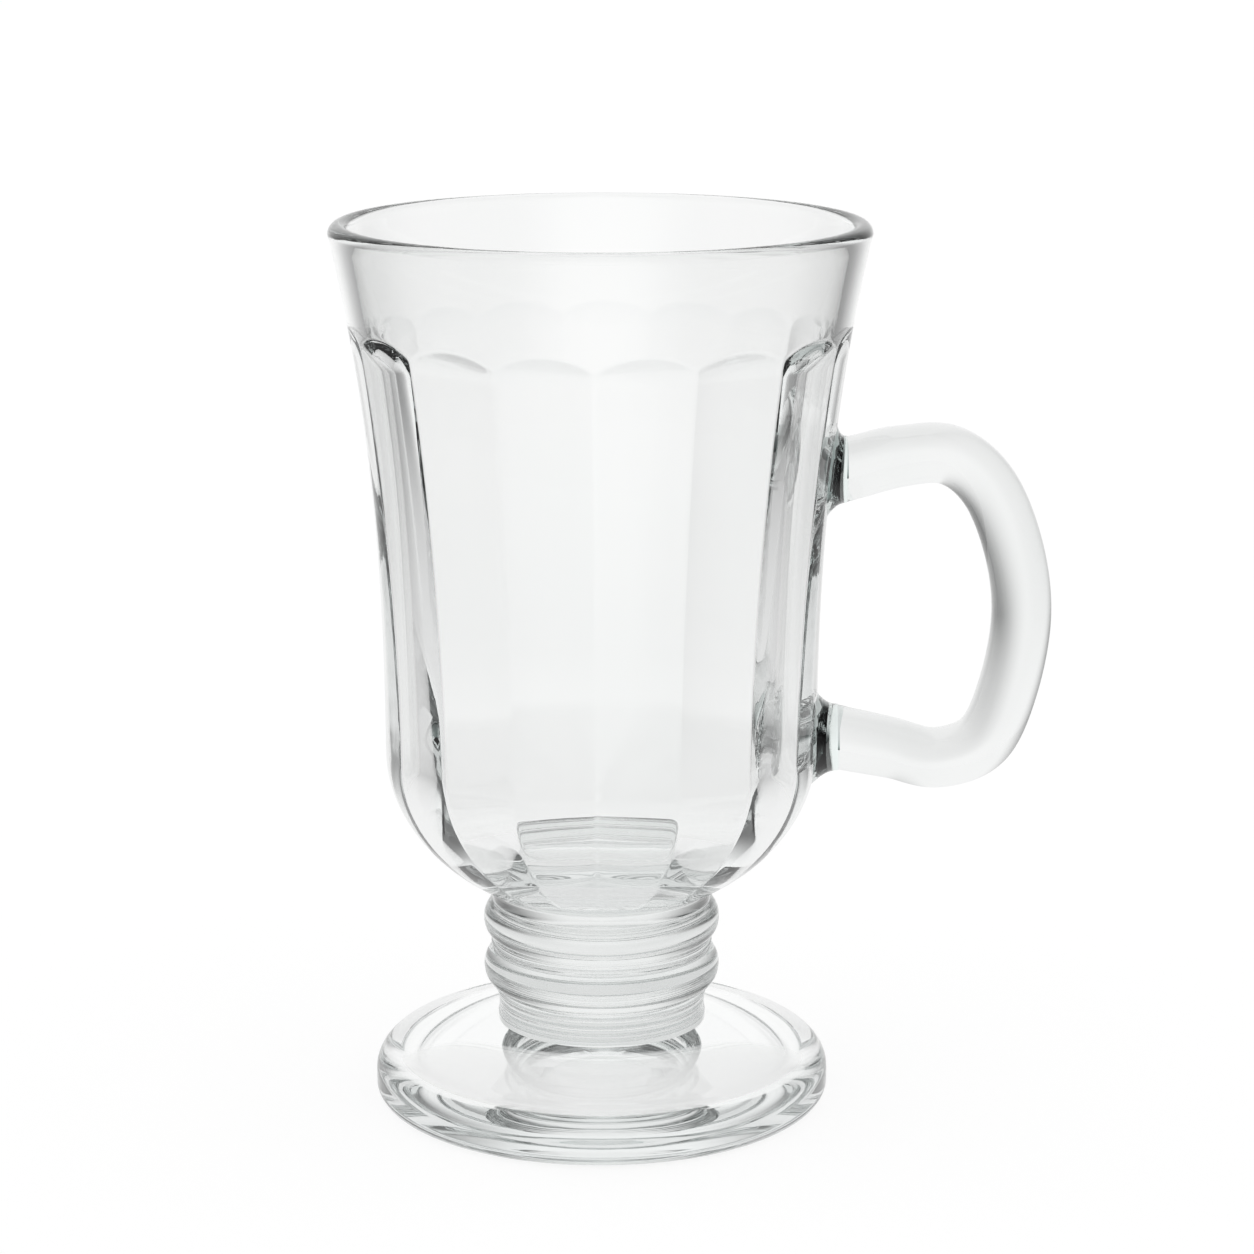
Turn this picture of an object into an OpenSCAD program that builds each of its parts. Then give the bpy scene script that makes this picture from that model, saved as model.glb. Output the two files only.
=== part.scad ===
// Footed glass mug for hot coffee drinks: a bowl with flat panels inside, a ringed stem, a D-shaped handle.
// Millimetres. The origin is the middle of the resting ring's plane, +Z is up, the handle is at +X.

/* [Bowl] */
// Height of the bowl, from the top of the stem to the top of the lip
bowl_h = 100.3; // [90:0.1:112]
// Outer radius of the lip
rim_r = 39.5; // [37:0.1:43]
// Thickness of the rounded lip
lip_t = 3.1; // [2.4:0.1:4]
// Outer radius of the bowl at its waist
waist_r = 32.2; // [30:0.1:34.5]
// Height of the waist above the bowl's bottom
waist_h = 21.3; // [18:0.1:26]
// Radius where the bowl meets the stem
seat_r = 16.4; // [14:0.1:17]
// Thickness of the glass wall at the waist
wall_t = 4.7; // [3:0.1:6]
// Thickness of the glass under the floor
floor_t = 5; // [4:0.1:8]
// Radius of the flat floor inside
floor_r = 12; // [8:0.5:14]

/* [Inside panels] */
// Number of flat panels round the inside of the bowl
panel_n = 15; // [12:1:18]
// Direction of one of the ribs between the panels, where -90 is straight to the front
rib_a = -91; // [-102:0.5:-78]
// Height of the plain band between the panels and the top of the lip
band_h = 14.7; // [10:0.1:20]
// Height of each panel's arched top
arch_h = 4.3; // [2.5:0.1:6]
// How far the ribs stand in from the cavity's round surface
rib_relief = 0.3; // [0.05:0.05:0.5]

/* [Stem] */
// Height of the stem
stem_h = 20.5; // [19:0.1:26]
// Outer radius of both rings
ring_r = 17.8; // [17.2:0.1:19]
// Radius that rounds each ring
ring_round = 3.6; // [2.5:0.1:3.7]
// Distance from the stem's top down to the middle of the upper ring
ring_drop = 4.8; // [4:0.1:5.5]
// Distance between the middles of the two rings
ring_pitch = 7.4; // [7.4:0.1:8.5]
// Radius of the groove between the rings
groove_r = 16.35; // [15.6:0.05:17]
// Radius of the neck below the rings
neck_r = 15.4; // [14.5:0.1:15.6]
// Radius of the low collar that stands on the foot
collar_r = 15.7; // [15.6:0.1:16.5]
// Height of the low collar
collar_h = 0.8; // [0.5:0.1:3]

/* [Foot] */
// Outer radius of the foot
foot_r = 34.3; // [31:0.1:38]
// Height of the foot in the middle, where the stem stands
foot_h = 11.9; // [10.5:0.1:14]
// Height of the crease round the foot's edge
edge_h = 8.2; // [7:0.1:9.5]
// Radius that rounds the foot's edge above
edge_round = 4.2; // [3:0.1:4.3]
// Radius that rounds the foot's edge below
base_round = 2.2; // [1.5:0.1:2.7]
// Width of the flat ring that the mug rests on
rest_w = 1.8; // [1:0.1:4]
// Depth of the hollow under the foot
hollow_h = 5.2; // [2:0.1:6]

/* [Handle] */
// Distance from the mug's axis to the handle's centreline at its farthest
handle_reach = 62.4; // [56:0.1:68]
// Height of the lowest point of the handle's centreline above the bowl's bottom
handle_low_h = 19.8; // [18:0.1:24]
// Height of the handle's centreline from its lowest point to its highest
handle_drop = 46.7; // [42:0.1:50]
// Thickness of the handle in its own plane
handle_t = 8.8; // [8:0.1:10]
// Width of the handle across its plane
handle_w = 10.2; // [9:0.1:11.5]
// Thickness of the handle at its two ends
handle_end_t = 9.5; // [8.5:0.1:10.5]
// Width of the handle at its two ends
handle_end_w = 10.6; // [9.5:0.1:12]

/* [Handle pads] */
// Length of the upper pad, from the bowl's outline to the seam
upper_pad_l = 2.2; // [1.5:0.1:4]
// Length of the lower pad, from the bowl's outline to the seam
lower_pad_l = 3.2; // [2:0.1:5]
// How far each pad spreads all round as it meets the bowl
pad_flare = 2.1; // [1:0.1:3]

/* [Hidden] */

// How far a cutting shape runs past what it cuts
overrun = 2;

// Heights above the table
stem_z = foot_h;
bowl_z = foot_h + stem_h;

// Roundness of the bowl's lower curve, where 2 is an ellipse, and steepness of its flare, outside
// and inside
belly_power = 1.95;
flare_power = 2.37;
cavity_power = 1.55;

// Heights within the bowl
lip_mid_h = bowl_h - lip_t / 2;
arch_top_h = bowl_h - band_h;
arch_low_h = arch_top_h - arch_h;

// Radii of the cavity
cavity_rim_r = rim_r - lip_t;
cavity_waist_r = waist_r - wall_t;

// Straight steps that the bowl's lower curve, its panelled flare and its plain band are made of
belly_steps = 8;
flare_steps = 7;
band_steps = 4;

// Places up each arch, as shares of its height; the last one lies past the cavity's round surface
arch_shares = [0.4, 0.7, 0.9, 1.1];

panel_a = 360 / panel_n;

// Radius of a rounded belly that starts at the radius low and ends upright at the radius high
function belly_r(low, high, share) =
    high * pow(1 - (1 - pow(low / high, belly_power)) * pow(1 - share, belly_power), 1 / belly_power);

// Radius of a flare that starts upright at the radius low and ends at the radius high
function flare_r(low, high, h, power) =
    low + (high - low) * pow((h - waist_h) / (lip_mid_h - waist_h), power);

function outer_r(h) = h < waist_h
    ? belly_r(seat_r, waist_r, h / waist_h)
    : flare_r(waist_r, rim_r, h, flare_power);

function cavity_r(h) = h < waist_h
    ? belly_r(floor_r, cavity_waist_r, (h - floor_t) / (waist_h - floor_t))
    : flare_r(cavity_waist_r, cavity_rim_r, h, cavity_power);

// Heights at even steps from low to high, with the last one left out
function steps_between(low, high, steps) = [for (i = [0 : steps - 1]) low + (high - low) * i / steps];

flare_hs = steps_between(waist_h, arch_low_h, flare_steps);
band_hs = concat(steps_between(arch_low_h, lip_mid_h, band_steps), [lip_mid_h]);
outer_hs = concat(steps_between(0, waist_h, belly_steps), flare_hs, band_hs);
panel_hs = concat(steps_between(floor_t, waist_h, belly_steps), flare_hs);
cavity_hs = concat(panel_hs, band_hs);

// Distance from the axis to a panel below its arch
function flat_x(h) = (cavity_r(h) - rib_relief) * cos(panel_a / 2);

// The same within the arch, where the panel runs out to the round surface
function arch_x(share) =
    let (h = arch_low_h + arch_h * share)
    cavity_r(h) - (cavity_r(h) - flat_x(h)) * (1 - share * share);

panel_edge = concat(
    [[flat_x(floor_t), -overrun]],
    [for (h = panel_hs) [flat_x(h), h]],
    [[flat_x(arch_low_h), arch_low_h]],
    [for (share = arch_shares) [arch_x(share), arch_low_h + arch_h * share]],
    [[rim_r + overrun, arch_low_h + arch_h * arch_shares[len(arch_shares) - 1]],
     [rim_r + overrun, bowl_h + overrun]]);

// All that lies on the inner side of one panel
module panel_side() {
    far_x = -rim_r - overrun;
    rotate([90, 0, 0])
        linear_extrude(height = 2 * (rim_r + overrun), center = true)
            polygon(concat(panel_edge, [[far_x, bowl_h + overrun], [far_x, -overrun]]));
}

// The bowl's outside with nothing hollowed out inside it but the top of the lip
module bowl_blank() {
    rotate_extrude($fn = 128) {
        polygon(concat([[0, 0]], [for (h = outer_hs) [outer_r(h), h]], [[0, lip_mid_h]]));
        translate([rim_r - lip_t / 2, lip_mid_h])
            circle(lip_t / 2, $fn = 48);
    }
}

// The round cavity, which leaves the lip inwards above
module round_cavity() {
    rotate_extrude($fn = 128)
        polygon(concat([[0, floor_t]],
                       [for (h = cavity_hs) [cavity_r(h), h]],
                       [[cavity_rim_r - overrun, lip_mid_h + overrun], [0, lip_mid_h + overrun]]));
}

module panelled_cavity() {
    intersection() {
        round_cavity();
        intersection_for (i = [0 : panel_n - 1])
            rotate(rib_a + (i + 0.5) * panel_a)
                panel_side();
    }
}

module bowl() {
    color("aliceblue")
        translate([0, 0, bowl_z])
            difference() {
                bowl_blank();
                panelled_cavity();
            }
}

// Heights of the two rings' middles within the stem, and the neck's taper into the collar
upper_ring_h = stem_h - ring_drop;
lower_ring_h = upper_ring_h - ring_pitch;
collar_taper_h = (collar_r - neck_r) * 2;

// A fine bead under the lower ring, which stands out of the neck by its own radius
bead_r = 0.45;
bead_h = lower_ring_h - ring_round - bead_r;

module stem_section() {
    polygon([[0, 0],
             [collar_r, 0],
             [collar_r, collar_h],
             [neck_r, collar_h + collar_taper_h],
             [neck_r, lower_ring_h],
             [groove_r, lower_ring_h],
             [groove_r, upper_ring_h],
             [seat_r, upper_ring_h],
             [seat_r, stem_h],
             [0, stem_h]]);
    for (h = [lower_ring_h, upper_ring_h])
        translate([ring_r - ring_round, h])
            circle(ring_round, $fn = 64);
    translate([neck_r, bead_h])
        circle(bead_r, $fn = 24);
}

module stem() {
    color("lightcyan")
        translate([0, 0, stem_z])
            rotate_extrude($fn = 128)
                stem_section();
}

// Inner radius of the resting ring, and radius of the round surface that hollows the foot
rest_r = foot_r - base_round - rest_w;
hollow_r = (rest_r * rest_r + hollow_h * hollow_h) / (2 * hollow_h);

// A quarter of a disc that rounds a corner
module quarter_round(r) {
    intersection() {
        circle(r, $fn = 64);
        square(2 * r);
    }
}

module foot_section() {
    polygon([[0, 0],
             [foot_r - base_round, 0],
             [foot_r, base_round],
             [foot_r, edge_h - edge_round],
             [foot_r - edge_round, edge_h],
             [collar_r, foot_h],
             [0, foot_h]]);
    translate([foot_r - base_round, base_round])
        mirror([0, 1])
            quarter_round(base_round);
    translate([foot_r - edge_round, edge_h - edge_round])
        quarter_round(edge_round);
}

module foot() {
    color("lightblue")
        difference() {
            rotate_extrude($fn = 128)
                foot_section();
            translate([0, 0, hollow_h - hollow_r])
                sphere(hollow_r, $fn = 256);
        }
}

// The handle's centreline, from the upper seam round to the lower one: how far out each point lies,
// as a share of the way from the seam to the reach, and how high, as a share of the handle's drop
handle_path_shares = [[0, 0.94], [0.3, 0.982], [0.58, 0.985], [0.8, 0.883], [0.945, 0.69],
                      [1, 0.475], [0.94, 0.242], [0.805, 0.06], [0.55, 0.001], [0.28, 0.035],
                      [0, 0.068]];
path_last = len(handle_path_shares) - 1;

// Sides of the handle's section, rings between two points of its centreline, and the rings over
// which its ends turn upright and thicken
bar_sides = 24;
rings_a_span = 4;
end_rings = 5;

// Squareness of the handle's section, where 2 is an ellipse
section_power = 2.3;

handle_low_z = bowl_z + handle_low_h;
upper_seam_z = handle_low_z + handle_path_shares[0][1] * handle_drop;
lower_seam_z = handle_low_z + handle_path_shares[path_last][1] * handle_drop;
upper_seam_x = outer_r(upper_seam_z - bowl_z) + upper_pad_l;
lower_seam_x = outer_r(lower_seam_z - bowl_z) + lower_pad_l;

// A point of the centreline as [x, z]; the upper half hangs on the upper seam, the lower on the lower
function path_point(i) =
    let (seam_x = i < path_last / 2 ? upper_seam_x : lower_seam_x)
    [seam_x + (handle_reach - seam_x) * handle_path_shares[i][0],
     handle_low_z + handle_drop * handle_path_shares[i][1]];

// The same, with one more point past each end that carries the end on in a straight line
function path_point_past(i) = i < 0
    ? 2 * path_point(0) - path_point(1)
    : i > path_last ? 2 * path_point(path_last) - path_point(path_last - 1) : path_point(i);

// A smooth curve through p1 and p2, with p0 and p3 as the points before and after them
function curve_point(p0, p1, p2, p3, u) =
    (2 * p1 + (p2 - p0) * u + (2 * p0 - 5 * p1 + 4 * p2 - p3) * u * u
     + (3 * p1 - p0 - 3 * p2 + p3) * u * u * u) / 2;

function curve_slope(p0, p1, p2, p3, u) =
    ((p2 - p0) + 2 * (2 * p0 - 5 * p1 + 4 * p2 - p3) * u
     + 3 * (3 * p1 - p0 - 3 * p2 + p3) * u * u) / 2;

ring_last = path_last * rings_a_span;

// Place and heading of a ring, counted from the upper seam
function ring_span(i) = min(floor(i / rings_a_span), path_last - 1);
function ring_at(i) =
    let (s = ring_span(i))
    curve_point(path_point_past(s - 1), path_point(s), path_point(s + 1), path_point_past(s + 2),
                i / rings_a_span - s);
function ring_heading(i) =
    let (s = ring_span(i),
         d = curve_slope(path_point_past(s - 1), path_point(s), path_point(s + 1),
                         path_point_past(s + 2), i / rings_a_span - s))
    atan2(d[1], d[0]);

// 0 at either end of the handle and 1 past its end rings
function ring_share(i) = min(1, min(i, ring_last - i) / end_rings);

// The heading with both ends turned square to their seams
function ring_turn(i) =
    let (square = i < ring_last / 2 ? 0 : 180)
    ring_share(i) < 1 ? square + (ring_heading(i) - square) * ring_share(i) : ring_heading(i);

function rounded(c) = sign(c) * pow(abs(c), 2 / section_power);

// One ring of the bar: t in the handle's plane, w across it
function bar_ring(at, turn, t, w) =
    [for (i = [0 : bar_sides - 1])
        let (a = 360 * i / bar_sides,
             up = rounded(cos(a)) * t / 2,
             side = rounded(sin(a)) * w / 2)
        [at[0] - sin(turn) * up, side, at[1] + cos(turn) * up]];

function mixed(from, to, share) = from + (to - from) * share;

// A closed skin over rings of equal length
module skinned(rings) {
    sides = len(rings[0]);
    last = len(rings) - 1;
    polyhedron(
        points = [for (ring = rings) for (p = ring) p],
        faces = concat(
            [[for (i = [0 : sides - 1]) i]],
            [[for (i = [sides - 1 : -1 : 0]) last * sides + i]],
            [for (r = [0 : last - 1], i = [0 : sides - 1])
                let (j = (i + 1) % sides)
                each [[r * sides + i, (r + 1) * sides + i, (r + 1) * sides + j],
                      [r * sides + i, (r + 1) * sides + j, r * sides + j]]]));
}

module handle() {
    color("azure")
        skinned([for (i = [0 : ring_last])
            bar_ring(ring_at(i), ring_turn(i),
                     mixed(handle_end_t, handle_t, ring_share(i)),
                     mixed(handle_end_w, handle_w, ring_share(i)))]);
}

// Places along a pad, as shares of its length from the seam, where it spreads up to the bowl's
// outline; its root runs on from there and is cut away along the bowl
pad_shares = [0, 0.25, 0.5, 0.75, 1];
pad_root_l = 5;

function pad_ring(x, z, spread) =
    bar_ring([x, z], 180, handle_end_t + 2 * spread, handle_end_w + 2 * spread);

// A pad from the seam at x, z inwards to the bowl
module pad(x, z, l) {
    difference() {
        skinned(concat(
            [for (share = pad_shares) pad_ring(x - l * share, z, pad_flare * share * share)],
            [pad_ring(x - l - pad_root_l, z, pad_flare)]));
        translate([0, 0, bowl_z])
            bowl_blank();
    }
}

module upper_handle_pad() {
    color("palegreen")
        pad(upper_seam_x, upper_seam_z, upper_pad_l);
}

module lower_handle_pad() {
    color("palegreen")
        pad(lower_seam_x, lower_seam_z, lower_pad_l);
}

bowl();
stem();
foot();
handle();
upper_handle_pad();
lower_handle_pad();
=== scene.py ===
import math

import bmesh
import bpy
from mathutils import Matrix, Vector


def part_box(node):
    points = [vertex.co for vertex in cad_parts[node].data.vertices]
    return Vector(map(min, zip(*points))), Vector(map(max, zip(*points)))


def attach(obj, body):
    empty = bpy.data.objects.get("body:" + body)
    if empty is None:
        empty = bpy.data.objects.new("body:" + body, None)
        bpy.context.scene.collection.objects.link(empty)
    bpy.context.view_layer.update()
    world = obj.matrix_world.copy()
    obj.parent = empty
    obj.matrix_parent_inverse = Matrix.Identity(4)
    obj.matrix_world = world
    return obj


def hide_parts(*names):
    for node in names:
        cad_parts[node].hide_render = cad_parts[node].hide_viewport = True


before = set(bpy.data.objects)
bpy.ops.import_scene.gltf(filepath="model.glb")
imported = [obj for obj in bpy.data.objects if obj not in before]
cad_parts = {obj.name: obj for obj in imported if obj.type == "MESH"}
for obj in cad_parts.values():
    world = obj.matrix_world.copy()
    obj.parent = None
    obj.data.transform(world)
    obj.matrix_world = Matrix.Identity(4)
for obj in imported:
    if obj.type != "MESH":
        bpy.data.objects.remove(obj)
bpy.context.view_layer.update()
print("frame loaded:", sorted(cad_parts))

mm = 0.001
hair = 0.001 * mm            # points closer than this are one point
nearly = 0.01 * mm           # how far off a surface a point may be and still count as on it
seamSlot = 1                 # material slot of the faces that are fused to another piece


# shader expressions
class Wire:
    # one output of a node, with the arithmetic that adds Math nodes
    def __init__(self, shader, socket):
        self.shader = shader
        self.socket = socket

    def maths(self, operation, first, second):
        return self.shader.node("ShaderNodeMath", {"operation": operation}, {0: first, 1: second})

    def __add__(self, other):
        return self.maths("ADD", self, other)

    def __sub__(self, other):
        return self.maths("SUBTRACT", self, other)

    def __rsub__(self, other):
        return self.maths("SUBTRACT", other, self)

    def __mul__(self, other):
        return self.maths("MULTIPLY", self, other)

    def __abs__(self):
        return self.maths("ABSOLUTE", self, 0)

    __radd__ = __add__
    __rmul__ = __mul__


class Shader:
    def __init__(self, owner):
        owner.use_nodes = True
        self.tree = owner.node_tree
        self.tree.nodes.clear()

    def node(self, kind, settings=None, sockets=None, out=0):
        made = self.tree.nodes.new(kind)
        for key, value in (settings or {}).items():
            setattr(made, key, value)
        for key, value in (sockets or {}).items():
            if isinstance(value, Wire):
                self.tree.links.new(value.socket, made.inputs[key])
            else:
                made.inputs[key].default_value = value
        return Wire(self, made.outputs[out]) if made.outputs else None

    def place(self, scale):
        # object coordinates in millimetres, times a scale for each axis
        at = self.node("ShaderNodeTexCoord", out="Object")
        size = [share / mm for share in scale]
        return self.node("ShaderNodeMapping", sockets={"Vector": at, "Scale": size})

    def noise(self, scale, detail):
        at = self.place(scale)
        return self.node("ShaderNodeTexNoise",
                         sockets={"Vector": at, "Scale": 1.0, "Detail": detail})

    def blend(self, share, first, second):
        return self.node("ShaderNodeMix", {"data_type": "RGBA"}, {0: share, 6: first, 7: second}, 2)

    def fit(self, value, low, high, first, last):
        return self.node("ShaderNodeMapRange", {"interpolation_type": "SMOOTHSTEP"},
                         {0: value, 1: low, 2: high, 3: first, 4: last})


# the camera, where the photograph was taken from
cameraSetup = {
    "distance": 517 * mm,
    "height": 192 * mm,
    "pitch": 13.04,          # degrees down
    "aside": 3.85 * mm,      # the mug stands this far left of the view's middle
    "focalPixels": 3570,     # on a frame of framePixels
    "framePixels": 1254,
    "sensor": 36.0,
    "nearest": 10 * mm,      # what the camera sees starts and ends at these distances
    "furthest": 100,
}


def makeCamera(setup):
    data = bpy.data.cameras.new("camera")
    data.sensor_width = setup["sensor"]
    data.lens = setup["sensor"] * setup["focalPixels"] / setup["framePixels"]
    data.clip_start = setup["nearest"]
    data.clip_end = setup["furthest"]
    camera = bpy.data.objects.new("camera", data)
    bpy.context.scene.collection.objects.link(camera)
    stand = Matrix.Translation((setup["aside"], -setup["distance"], setup["height"]))
    tilt = Matrix.Rotation(math.radians(90 - setup["pitch"]), 4, "X")
    camera.matrix_world = stand @ tilt
    bpy.context.scene.camera = camera


makeCamera(cameraSetup)
print("camera placed")


# materials
glassLook = {
    "clearThin": (0.998, 1.0, 0.998, 1),
    "clearDeep": (0.984, 0.990, 0.987, 1),
    "barThin": (0.940, 0.945, 0.942, 1),
    "barDeep": (0.900, 0.910, 0.905, 1),
    "jointThin": (0.93, 0.97, 0.96, 1),
    "jointDeep": (0.84, 0.92, 0.90, 1),
    "body": (0.845, 0.870, 0.866, 1),    # the faint green of long ways through the glass
    "density": 10.0,
    "ior": 1.52,
    "shadow": (0.93, 0.94, 0.94, 1),
    "archPaintedShade": (0.94, 0.95, 0.95, 1),   # painted shade on the arches' slopes, standing in for how the steep arches bend the light
    "swirls": (0.05, 0.05, 0.02),        # slow swirls of the melt, each axis per mm
    "swirlDetail": 3.0,
    "swirlStart": 0.35,                  # noise at which the colour starts to deepen, and is deep
    "swirlEnd": 0.65,
    "waves": (0.16, 0.16, 0.06),         # soft waviness left by the mould
    "waveDepth": 0.006,                  # mm
    "grain": (1.4, 1.4, 1.4),            # fine unevenness of the skin
    "grainDepth": 0.0003,                # mm
    "skinDetail": 2.0,
    "hazeStart": 0.45,                   # noise at which the haze starts, and is full
    "hazeEnd": 0.8,
    "haze": 0.006,
}


def makeGlass(name, thin, deep, look):
    material = bpy.data.materials.new(name)
    s = Shader(material)
    swirls = s.noise(look["swirls"], look["swirlDetail"])
    waves = s.noise(look["waves"], look["skinDetail"])
    grain = s.noise(look["grain"], look["skinDetail"])
    slope = s.node("ShaderNodeAttribute", {"attribute_name": "archSlope"}, out="Fac")
    melt = s.blend(s.fit(swirls, look["swirlStart"], look["swirlEnd"], 0, 1), thin, deep)
    # painted shade: the glass darkens where the arches' slopes are steep
    colour = s.blend(slope, melt, look["archPaintedShade"])
    rough = s.fit(grain, look["hazeStart"], look["hazeEnd"], 0.0, look["haze"])
    height = waves * look["waveDepth"] + grain * look["grainDepth"]
    skin = s.node("ShaderNodeBump", sockets={"Strength": 1.0, "Distance": mm, "Height": height})
    glass = s.node("ShaderNodeBsdfPrincipled", sockets={
        "Base Color": colour, "Roughness": rough, "IOR": look["ior"],
        "Transmission Weight": 1.0, "Normal": skin})
    shade = s.node("ShaderNodeBsdfTransparent", sockets={"Color": look["shadow"]})
    isShadow = s.node("ShaderNodeLightPath", out="Is Shadow Ray")
    mix = s.node("ShaderNodeMixShader", sockets={0: isShadow, 1: glass, 2: shade})
    body = s.node("ShaderNodeVolumeAbsorption",
                  sockets={"Color": look["body"], "Density": look["density"]})
    s.node("ShaderNodeOutputMaterial", sockets={"Surface": mix, "Volume": body})
    return material


def makeSeam():
    # where two pieces are fused, light goes straight on
    material = bpy.data.materials.new("fusedSeam")
    s = Shader(material)
    clear = s.node("ShaderNodeBsdfTransparent")
    s.node("ShaderNodeOutputMaterial", sockets={"Surface": clear})
    return material


clearGlass = makeGlass("clearGlass", glassLook["clearThin"], glassLook["clearDeep"], glassLook)
barGlass = makeGlass("barGlass", glassLook["barThin"], glassLook["barDeep"], glassLook)
jointLook = dict(glassLook, waveDepth=0.05, haze=0.16)
jointGlass = makeGlass("jointGlass", glassLook["jointThin"], glassLook["jointDeep"], jointLook)
fusedSeam = makeSeam()
print("materials made")


# helpers for the meshes
def spunMesh(profile, steps):
    # turns a profile of (radius, height) points once round the axis
    bm = bmesh.new()
    verts = [bm.verts.new((r, 0, z)) for r, z in profile]
    edges = [bm.edges.new(pair) for pair in zip(verts, verts[1:])]
    bmesh.ops.spin(bm, geom=verts + edges, axis=(0, 0, 1), cent=(0, 0, 0), angle=math.tau,
                   steps=steps, use_merge=True)
    bmesh.ops.remove_doubles(bm, verts=bm.verts, dist=hair)
    bmesh.ops.recalc_face_normals(bm, faces=bm.faces)
    return bm


def settleOrder(bm):
    # edges and faces in the order of their points, so that every run writes them alike
    bm.verts.index_update()
    for parts in (bm.edges, bm.faces):
        order = sorted(parts, key=lambda part: sorted(vert.index for vert in part.verts))
        for i, part in enumerate(order):
            part.index = i
        parts.sort()


def makePiece(bm, name, glass, sharpAngle):
    settleOrder(bm)
    mesh = bpy.data.meshes.new(name)
    bm.to_mesh(mesh)
    bm.free()
    mesh.materials.append(glass)
    mesh.materials.append(fusedSeam)
    mesh.shade_smooth()
    mesh.set_sharp_from_angle(angle=math.radians(sharpAngle))
    piece = bpy.data.objects.new(name, mesh)
    bpy.context.scene.collection.objects.link(piece)
    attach(piece, "root")
    return piece


def evenSteps(low, high, steps):
    return [low + (high - low) * i / steps for i in range(steps + 1)]


def smoothShare(value, low, high):
    share = min(1, max(0, (value - low) / (high - low)))
    return share * share * (3 - 2 * share)


def softMin(a, b, reach):
    # the lesser of two values, rounded over where they are within reach of each other
    near = max(reach - abs(a - b), 0) / reach
    return min(a, b) - near * near * reach / 4


def softMax(a, b, reach):
    return -softMin(-a, -b, reach)


# the bowl
bowlLow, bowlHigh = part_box("bowl")
bowl = {
    "bottom": bowlLow.z,
    "height": bowlHigh.z - bowlLow.z,
    "rimRadius": bowlHigh.x,
    "lip": 3.1 * mm,
    "waistRadius": 32.2 * mm,
    "waistHeight": 21.3 * mm,
    "seatRadius": 16.4 * mm,
    "wall": 4.7 * mm,        # at the waist
    "floor": 5.0 * mm,
    "floorRadius": 12 * mm,
    "bellyPower": 1.95,
    "flarePower": 2.37,
    "cavityPower": 1.55,
    "panels": 15,            # flat panels round the inside
    "turn": -91.0,           # degrees, where one of their ribs stands
    "band": 14.7 * mm,
    "arch": 4.3 * mm,
    "archPower": 1.8,
    "ribRelief": 0.3 * mm,   # how far the ribs stand in from the round surface above
    "ribSoftness": 0.3 * mm,
    "archSoftness": 0.12 * mm,
    "archEnd": 1.3,          # share of an arch's height past which the inside is round
    "steepest": 0.42,        # slope of an arch that gets the full painted shade
    "panelSteps": 20,
    "ribDraw": 0.6,          # how far the mesh is drawn together at the ribs
    "firstAngle": 0.12,      # where the rings of the belly start, in radians
    "bellySteps": 30,
    "flareSteps": 50,
    "lipSteps": 16,
    "bandSteps": 8,
    "archSteps": 24,
    "panelRings": 30,
    "aboveArch": 1.5 * mm,   # the close rings of the arches start and end this far off them
    "belowArch": 1 * mm,
    "floorShares": (0.66, 0.33, 0),
    "sharpAngle": 50,
}
bowl["lipMid"] = bowl["height"] - bowl["lip"] / 2
bowl["archTop"] = bowl["height"] - bowl["band"]
bowl["archLow"] = bowl["archTop"] - bowl["arch"]
halfPanel = math.pi / bowl["panels"]


def bellyRadius(low, high, share):
    power = bowl["bellyPower"]
    return high * (1 - (1 - (low / high) ** power) * (1 - share) ** power) ** (1 / power)


def flareRadius(low, high, h, power):
    share = (h - bowl["waistHeight"]) / (bowl["lipMid"] - bowl["waistHeight"])
    return low + (high - low) * share ** power


def outerRadius(h):
    if h < bowl["waistHeight"]:
        return bellyRadius(bowl["seatRadius"], bowl["waistRadius"], max(0, h) / bowl["waistHeight"])
    return flareRadius(bowl["waistRadius"], bowl["rimRadius"], h, bowl["flarePower"])


def cavityRadius(h):
    waist = bowl["waistRadius"] - bowl["wall"]
    if h < bowl["waistHeight"]:
        share = (h - bowl["floor"]) / (bowl["waistHeight"] - bowl["floor"])
        return bellyRadius(bowl["floorRadius"], waist, max(0, share))
    return flareRadius(waist, bowl["rimRadius"] - bowl["lip"], h, bowl["cavityPower"])


def panelledRadius(angle, h):
    # radius of the inside with its flat panels, soft ribs and arched tops
    whole = cavityRadius(h)
    up = max(0, (h - bowl["archLow"]) / bowl["arch"])
    if up > bowl["archEnd"]:
        return whole
    panelsAlong = (angle - math.radians(bowl["turn"])) / (2 * halfPanel)
    fromRib = abs((panelsAlong + 0.5) % 1 - 0.5) * 2 * halfPanel
    soft = math.hypot(fromRib, bowl["ribSoftness"] / whole)
    depth = (whole * (1 - math.cos(halfPanel)) + bowl["ribRelief"]) * (1 - up ** bowl["archPower"])
    return softMin(whole, (whole - depth) / math.cos(halfPanel - soft), bowl["archSoftness"])


def archSlope(angle, h):
    # how steeply the inside leans in an arch, as a share of the steepest, which sets how much
    # painted shade it gets
    step = bowl["archSoftness"]
    rise = panelledRadius(angle, h + step) - panelledRadius(angle, h - step)
    own = cavityRadius(h + step) - cavityRadius(h - step)
    return min(1, max(0, rise - own) / (2 * step * bowl["steepest"]))


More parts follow.
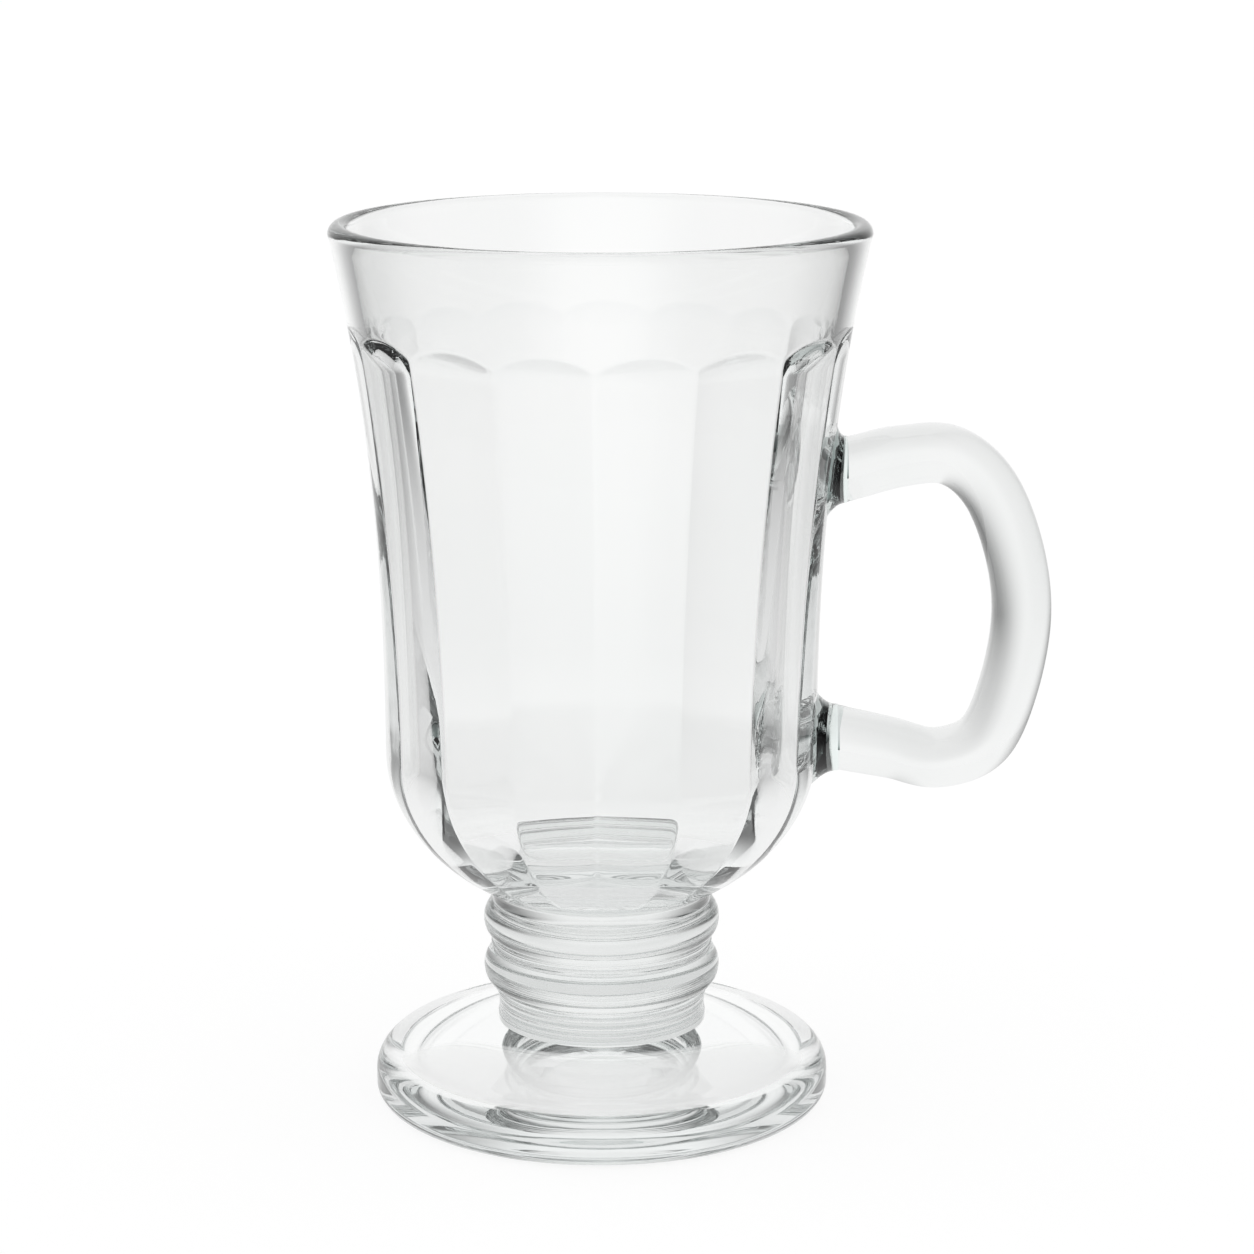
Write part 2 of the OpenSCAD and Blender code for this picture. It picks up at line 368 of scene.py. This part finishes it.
def bowlProfile():
    waist, top = bowl["waistHeight"], bowl["lipMid"]
    bellyAngles = evenSteps(bowl["firstAngle"], math.pi / 2, bowl["bellySteps"])
    rounding = [1 - math.cos(a) for a in bellyAngles]
    outerHeights = [0] + [waist * share for share in rounding]
    outerHeights += evenSteps(waist, top, bowl["flareSteps"])[1:]
    points = [(0, 0), (bowl["seatRadius"] / 2, 0)]
    points += [(outerRadius(h), h) for h in outerHeights]
    mid = bowl["rimRadius"] - bowl["lip"] / 2
    points += [(mid + bowl["lip"] / 2 * math.cos(a), top + bowl["lip"] / 2 * math.sin(a))
               for a in evenSteps(0, math.pi, bowl["lipSteps"])[1:-1]]
    floor = bowl["floor"]
    above, below = bowl["archTop"] + bowl["aboveArch"], bowl["archLow"] - bowl["belowArch"]
    innerHeights = evenSteps(top, above, bowl["bandSteps"])
    innerHeights += evenSteps(above, below, bowl["archSteps"])[1:]
    innerHeights += evenSteps(below, waist, bowl["panelRings"])[1:]
    innerHeights += [floor + (waist - floor) * share for share in reversed(rounding[:-1])]
    innerHeights += [floor]
    points += [(cavityRadius(h), h) for h in innerHeights]
    points += [(bowl["floorRadius"] * share, floor) for share in bowl["floorShares"]]
    return points


def makeBowl():
    bm = spunMesh(bowlProfile(), bowl["panels"] * bowl["panelSteps"])
    outside = set()
    slope = bm.verts.layers.float.new("archSlope")
    turn = math.radians(bowl["turn"])
    for vert in bm.verts:
        x, y, h = vert.co
        radius, angle = math.hypot(x, y), math.atan2(y, x)
        angle += turn - bowl["ribDraw"] * math.sin(angle * bowl["panels"]) / bowl["panels"]
        if h < bowl["lipMid"] and radius > outerRadius(h) - nearly:
            outside.add(vert)
        elif bowl["floor"] - nearly < h < bowl["lipMid"]:
            radius *= panelledRadius(angle, h) / cavityRadius(h)
            # the arches' slope, stored as the mask of their painted shade
            if h > bowl["archLow"]:
                vert[slope] = archSlope(angle, h)
        vert.co = (radius * math.cos(angle), radius * math.sin(angle), h + bowl["bottom"])
    for face in bm.faces:
        if all(vert.co.z < bowl["bottom"] + hair for vert in face.verts):
            face.material_index = seamSlot
        elif all(vert in outside and insidePad(vert.co) for vert in face.verts):
            face.material_index = seamSlot
    piece = makePiece(bm, "glassBowl", clearGlass, bowl["sharpAngle"])
    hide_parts("bowl")


# the handle's centreline, which the pads share
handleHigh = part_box("handle")[1]
handle = {
    "lowZ": bowl["bottom"] + 19.8 * mm,
    "drop": 46.7 * mm,
    "pathShares": [          # shares of the reach and of the drop, from the upper pad down
        (0, 0.94), (0.3, 0.982), (0.58, 0.985), (0.8, 0.883), (0.945, 0.69), (1, 0.475),
        (0.94, 0.242), (0.805, 0.06), (0.55, 0.001), (0.28, 0.035), (0, 0.068)],
    "thickness": 8.8 * mm,
    "width": 10.2 * mm,
    "endThickness": 9.5 * mm,
    "endWidth": 10.6 * mm,
    "endShare": 0.125,       # share of the path over which each end turns square and thickens
    "squareness": 2.3,
    "sides": 56,
    "rings": 140,
    "sharpAngle": 50,
}
handle["reach"] = handleHigh.x - handle["thickness"] / 2
pad = {
    "upperLength": 2.2 * mm,
    "lowerLength": 3.2 * mm,
    "flare": 2.1 * mm,
    "flarePower": 2.4,
    "rings": 14,
    "step": 0.12 * mm,       # the pad stands proud of the handle's end by this much
    "margin": 0.45 * mm,     # the open seam on the bowl stays this far inside the pad's edge
    "contactShares": (0.75, 0.5, 0.25, 0.05),    # rings that close the face on the bowl
    "sharpAngle": 50,
}
path = handle["pathShares"]
seamUpZ = handle["lowZ"] + path[0][1] * handle["drop"]
seamLowZ = handle["lowZ"] + path[-1][1] * handle["drop"]
seamUpX = outerRadius(seamUpZ - bowl["bottom"]) + pad["upperLength"]
seamLowX = outerRadius(seamLowZ - bowl["bottom"]) + pad["lowerLength"]


def sectionPoint(angle, thickness, width):
    # one point of the rounded bar's section: up in the handle's plane, then across it
    def rounded(c):
        return math.copysign(abs(c) ** (2 / handle["squareness"]), c)
    return rounded(math.cos(angle)) * thickness / 2, rounded(math.sin(angle)) * width / 2


def insidePad(co):
    for z in (seamUpZ, seamLowZ):
        spread = 2 * (pad["flare"] - pad["margin"])
        up = abs(co.z - z) / (handle["endThickness"] + spread) * 2
        side = abs(co.y) / (handle["endWidth"] + spread) * 2
        if co.x > 0 and up ** handle["squareness"] + side ** handle["squareness"] < 1:
            return True
    return False


def pathPoint(i):
    last = len(path) - 1
    if i < 0:
        return 2 * pathPoint(0) - pathPoint(1)
    if i > last:
        return 2 * pathPoint(last) - pathPoint(last - 1)
    seamX = seamUpX if i < last / 2 else seamLowX
    return Vector((seamX + (handle["reach"] - seamX) * path[i][0], 0,
                   handle["lowZ"] + handle["drop"] * path[i][1]))


def pathAt(share):
    # place and direction on the smooth centreline
    place = share * (len(path) - 1)
    span = min(int(place), len(path) - 2)
    u = place - span
    p0, p1, p2, p3 = [pathPoint(span + k) for k in (-1, 0, 1, 2)]
    a, b, c = p2 - p0, 2 * p0 - 5 * p1 + 4 * p2 - p3, 3 * p1 - p0 - 3 * p2 + p3
    at = (2 * p1 + a * u + b * u * u + c * u ** 3) / 2
    along = (a + 2 * b * u + 3 * c * u * u) / 2
    return at, math.atan2(along.z, along.x)


makeBowl()
print("bowl made")


def loopedMesh(rings):
    # a tube through rings of equal length, grown ring by ring, with a face at each end
    bm = bmesh.new()
    loop = [bm.verts.new(co) for co in rings[0]]
    edges = [bm.edges.new((loop[i - 1], loop[i])) for i in range(len(loop))]
    ends = [bmesh.ops.contextual_create(bm, geom=edges)["faces"][0]]
    for ring in rings[1:]:
        grown = bmesh.ops.extrude_edge_only(bm, edges=edges)["geom"]
        made = set(v for v in grown if isinstance(v, bmesh.types.BMVert))
        edges = [e for e in grown if isinstance(e, bmesh.types.BMEdge)
                 and e.verts[0] in made and e.verts[1] in made]
        loop = [next(edge.other_vert(vert) for edge in vert.link_edges
                     if edge.other_vert(vert) in made) for vert in loop]
        for vert, co in zip(loop, ring):
            vert.co = co
    ends.append(bmesh.ops.contextual_create(bm, geom=edges)["faces"][0])
    for face in ends:
        face.material_index = seamSlot
    bmesh.ops.recalc_face_normals(bm, faces=bm.faces)
    return bm


def makeHandle():
    rings = []
    for share in evenSteps(0, 1, handle["rings"]):
        at, heading = pathAt(share)
        free = min(1, min(share, 1 - share) / handle["endShare"])
        square = 0 if share < 0.5 else math.pi
        turn = square + (heading - square) * free if free < 1 else heading
        thickness = (handle["endThickness"]
                     + (handle["thickness"] - handle["endThickness"]) * free)
        width = handle["endWidth"] + (handle["width"] - handle["endWidth"]) * free
        ring = []
        for i in range(handle["sides"]):
            up, side = sectionPoint(math.tau * i / handle["sides"], thickness, width)
            ring.append(at + Vector((-math.sin(turn) * up, side, math.cos(turn) * up)))
        rings.append(ring)
    bm = loopedMesh(rings)
    piece = makePiece(bm, "glassHandle", barGlass, handle["sharpAngle"])
    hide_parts("handle")


makeHandle()
print("handle made")


def bowlSurface(y, z):
    # how far out the bowl's outside lies at y, z on the handle's side
    return math.sqrt(outerRadius(z - bowl["bottom"]) ** 2 - y * y)


def makePad(name, node, seamX, seamZ):
    def ring(share, spread, shrink=1.0):
        points = []
        for i in range(handle["sides"]):
            up, side = sectionPoint(-math.tau * i / handle["sides"],
                                    handle["endThickness"] + 2 * spread,
                                    handle["endWidth"] + 2 * spread)
            y, z = side * shrink, seamZ + up * shrink
            points.append(Vector((seamX + (bowlSurface(y, z) - seamX) * share, y, z)))
        return points
    rings = [ring(0, 0), ring(0, pad["step"])]
    for share in evenSteps(0, 1, pad["rings"])[1:]:
        flare = (pad["flare"] - pad["step"]) * share ** pad["flarePower"]
        rings.append(ring(share, pad["step"] + flare))
    side = len(rings) - 1
    rings += [ring(1, pad["flare"], shrink) for shrink in pad["contactShares"]]
    bm = loopedMesh(rings)
    bm.faces.ensure_lookup_table()
    contact = 1 + handle["sides"] * side
    for face in bm.faces[contact:]:
        face.material_index = seamSlot
    piece = makePiece(bm, name, jointGlass, pad["sharpAngle"])
    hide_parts(node)


makePad("upperPad", "upper_handle_pad", seamUpX, seamUpZ)
makePad("lowerPad", "lower_handle_pad", seamLowX, seamLowZ)
print("pads made")


# the stem
stemLow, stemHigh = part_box("stem")
stem = {
    "bottom": stemLow.z,
    "height": stemHigh.z - stemLow.z,
    "ringRadius": stemHigh.x,
    "ringRound": 3.6 * mm,
    "ringDrop": 4.8 * mm,
    "ringPitch": 7.4 * mm,
    "grooveRadius": 16.35 * mm,
    "neckRadius": 15.4 * mm,
    "collarRadius": 15.7 * mm,
    "collarHeight": 0.8 * mm,
    "taperHeight": 0.8 * mm, # over which the collar narrows to the neck
    "seatRadius": bowl["seatRadius"],
    "beadRound": 0.45 * mm,
    "threadRound": 0.35 * mm,
    "neckThreads": [1.6 * mm, 2.8 * mm],     # heights of the fine lines low on the neck
    "softness": 0.2 * mm,
    "profileSteps": 150,
    "steps": 192,
    "level": 0.999,          # a face whose normal is this upright is flat
    "sharpAngle": 50,
}


def bulge(h, middle, radius, rounding):
    # radius of a ring of round section at height h, or none beside it
    off = abs(h - middle)
    return radius - rounding + math.sqrt(rounding ** 2 - off ** 2) if off < rounding else 0


def stemRadius(h):
    upper = stem["height"] - stem["ringDrop"]
    lower = upper - stem["ringPitch"]
    if h < lower:
        taper = smoothShare(h, stem["collarHeight"], stem["collarHeight"] + stem["taperHeight"])
        core = stem["collarRadius"] + (stem["neckRadius"] - stem["collarRadius"]) * taper
    else:
        core = stem["grooveRadius"]
    radius = core
    for middle in (lower, upper):
        ring = bulge(h, middle, stem["ringRadius"], stem["ringRound"])
        radius = softMax(radius, ring, stem["softness"])
    bead = lower - stem["ringRound"] - stem["beadRound"]
    groove = (lower + upper) / 2
    threads = [(bead, stem["neckRadius"], stem["beadRound"]),
               (groove, stem["grooveRadius"], stem["threadRound"])]
    threads += [(low, stem["neckRadius"] - stem["threadRound"] / 2, stem["threadRound"])
                for low in stem["neckThreads"]]
    for middle, base, rounding in threads:
        thread = bulge(h, middle, base + rounding, rounding)
        radius = softMax(radius, thread, stem["threadRound"] / 2)
    return radius


def makeStem():
    low, high = stem["bottom"], stem["height"]
    points = [(0, 0), (stem["collarRadius"] / 2, 0)]
    points += [(min(stemRadius(h), stem["ringRadius"]), h)
               for h in evenSteps(0, high, stem["profileSteps"])]
    points[2] = (stem["collarRadius"], 0)
    points[-1] = (stem["seatRadius"], high)
    points += [(stem["seatRadius"] / 2, high), (0, high)]
    bm = spunMesh([(r, z + low) for r, z in points], stem["steps"])
    for face in bm.faces:
        fromAxis = face.calc_center_median().xy.length
        if abs(face.normal.z) > stem["level"] and fromAxis < stem["seatRadius"]:
            face.material_index = seamSlot
    piece = makePiece(bm, "glassStem", barGlass, stem["sharpAngle"])
    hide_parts("stem")


makeStem()
print("stem made")


# the foot
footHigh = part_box("foot")[1]
foot = {
    "height": footHigh.z,
    "radius": footHigh.x,
    "edgeHeight": 8.2 * mm,
    "edgeRound": 4.2 * mm,
    "baseRound": 2.2 * mm,
    "restWidth": 1.8 * mm,
    "hollow": 5.2 * mm,
    "hollowSteps": 16,
    "baseSteps": 12,
    "edgeSteps": 16,
    "domeSteps": 10,
    "steps": 192,
    "sharpAngle": 12,
}


def footProfile():
    radius, height, edge = foot["radius"], foot["height"], foot["edgeHeight"]
    restRadius = radius - foot["baseRound"] - foot["restWidth"]
    cap = (restRadius ** 2 + foot["hollow"] ** 2) / (2 * foot["hollow"])
    hollowAngle = math.asin(restRadius / cap)
    points = [(cap * math.sin(a), foot["hollow"] - cap * (1 - math.cos(a)))
              for a in evenSteps(0, hollowAngle, foot["hollowSteps"])]
    base, top = foot["baseRound"], foot["edgeRound"]
    points += [(radius - base + base * math.sin(a), base - base * math.cos(a))
               for a in evenSteps(0, math.pi / 2, foot["baseSteps"])]
    points += [(radius - top + top * math.cos(a), edge - top + top * math.sin(a))
               for a in evenSteps(0, math.pi / 2, foot["edgeSteps"])]
    neck = stem["collarRadius"]
    points += [(radius - top + (neck - radius + top) * share, edge + (height - edge) * share)
               for share in evenSteps(0, 1, foot["domeSteps"])[1:]]
    points += [(neck / 2, height), (0, height)]
    return points


def makeFoot():
    bm = spunMesh(footProfile(), foot["steps"])
    for face in bm.faces:
        if all(vert.co.z > foot["height"] - hair for vert in face.verts):
            face.material_index = seamSlot
    piece = makePiece(bm, "glassFoot", clearGlass, foot["sharpAngle"])
    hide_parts("foot")


makeFoot()
print("foot made")


# floor and sky, which give all the light
studio = {
    "floorHalf": 6.0,
    "floorCells": 8,
    "floorGlow": 0.86,
    "floorColour": (0.16, 0.16, 0.16, 1),
    "sky": 1.0,
    "skySide": 0.15,         # light from the sides, as a share of the light from behind
    "floorSide": 0.15,
    "sideStart": 0.22,       # sideways share of a direction where the darker sides begin
    "sideEnd": 0.80,
    "lightAside": 0.05,      # the light stands this far left, as a share of a direction
    "front": 0.70,           # light from the camera's side, as a share of the light from behind
    "frontEnd": -0.4,        # how far towards the camera a direction points where it is all front
    "backStart": 0.2,
    "nearGlow": 0.91,        # share of the floor's light close to the mug
    "nearEnd": 0.045,        # distances from the mug's axis, in metres
    "farStart": 0.45,        # the floor has its full light from here out
    "sidesFrom": 0.40,       # and its sides are fully dark from here out
    "floorDrop": 0.05 * mm,  # keeps the floor clear of the resting ring
    "bounces": 24,
    "clearBounces": 32,      # through seams and shadows
}


def sideFade(s, at, least):
    # 1 behind the mug, darker to both sides and towards the front of the studio
    flat = s.node("ShaderNodeVectorMath", {"operation": "MULTIPLY"}, {0: at, 1: (1, 1, 0)})
    heading = s.node("ShaderNodeVectorMath", {"operation": "NORMALIZE"}, {0: flat})
    sideways = s.node("ShaderNodeSeparateXYZ", sockets={0: heading}, out="X") + studio["lightAside"]
    forwards = s.node("ShaderNodeSeparateXYZ", sockets={0: heading}, out="Y")
    sides = s.fit(abs(sideways), studio["sideStart"], studio["sideEnd"], 1.0, least)
    return sides * s.fit(forwards, studio["frontEnd"], studio["backStart"], studio["front"], 1.0)


def makeFloor():
    bm = bmesh.new()
    cells = studio["floorCells"]
    bmesh.ops.create_grid(bm, x_segments=cells, y_segments=cells, size=studio["floorHalf"])
    bmesh.ops.translate(bm, verts=bm.verts, vec=(0, 0, -studio["floorDrop"]))
    mesh = bpy.data.meshes.new("floor")
    bm.to_mesh(mesh)
    bm.free()
    material = bpy.data.materials.new("paleFloor")
    s = Shader(material)
    lit = s.node("ShaderNodeBsdfDiffuse", sockets={"Color": studio["floorColour"]})
    at = s.node("ShaderNodeTexCoord", out="Object")
    away = s.node("ShaderNodeVectorMath", {"operation": "LENGTH"}, {0: at}, "Value")
    bright = s.fit(away, studio["nearEnd"], studio["farStart"], studio["nearGlow"], 1)
    out = s.fit(away, studio["nearEnd"], studio["sidesFrom"], 0, 1)
    fade = bright * (1 - out * (1 - sideFade(s, at, studio["floorSide"])))
    seenDirect = s.node("ShaderNodeLightPath", out="Is Camera Ray")
    power = s.node("ShaderNodeMath", {"operation": "MAXIMUM"}, {0: seenDirect, 1: fade})
    glow = s.node("ShaderNodeEmission",
                  sockets={"Color": (1, 1, 1, 1), "Strength": power * studio["floorGlow"]})
    both = s.node("ShaderNodeAddShader", sockets={0: lit, 1: glow})
    s.node("ShaderNodeOutputMaterial", sockets={"Surface": both})
    mesh.materials.append(material)
    floor = bpy.data.objects.new("floor", mesh)
    bpy.context.scene.collection.objects.link(floor)


def makeSky():
    world = bpy.data.worlds.new("studioSky")
    bpy.context.scene.world = world
    s = Shader(world)
    at = s.node("ShaderNodeTexCoord", out="Generated")
    fade = sideFade(s, at, studio["skySide"])
    seenDirect = s.node("ShaderNodeLightPath", out="Is Camera Ray")
    seenSpread = s.node("ShaderNodeLightPath", out="Is Diffuse Ray")
    plain = s.node("ShaderNodeMath", {"operation": "MAXIMUM"}, {0: seenDirect, 1: seenSpread})
    power = s.node("ShaderNodeMath", {"operation": "MAXIMUM"}, {0: plain, 1: fade})
    glow = s.node("ShaderNodeBackground",
                  sockets={"Color": (1, 1, 1, 1), "Strength": power * studio["sky"]})
    s.node("ShaderNodeOutputWorld", sockets={"Surface": glow})


makeFloor()
makeSky()
bpy.context.scene.view_settings.view_transform = "Standard"
cycles = bpy.context.scene.cycles
cycles.max_bounces = studio["bounces"]
cycles.transmission_bounces = studio["bounces"]
cycles.glossy_bounces = studio["bounces"]
cycles.transparent_max_bounces = studio["clearBounces"]
print("studio lit")
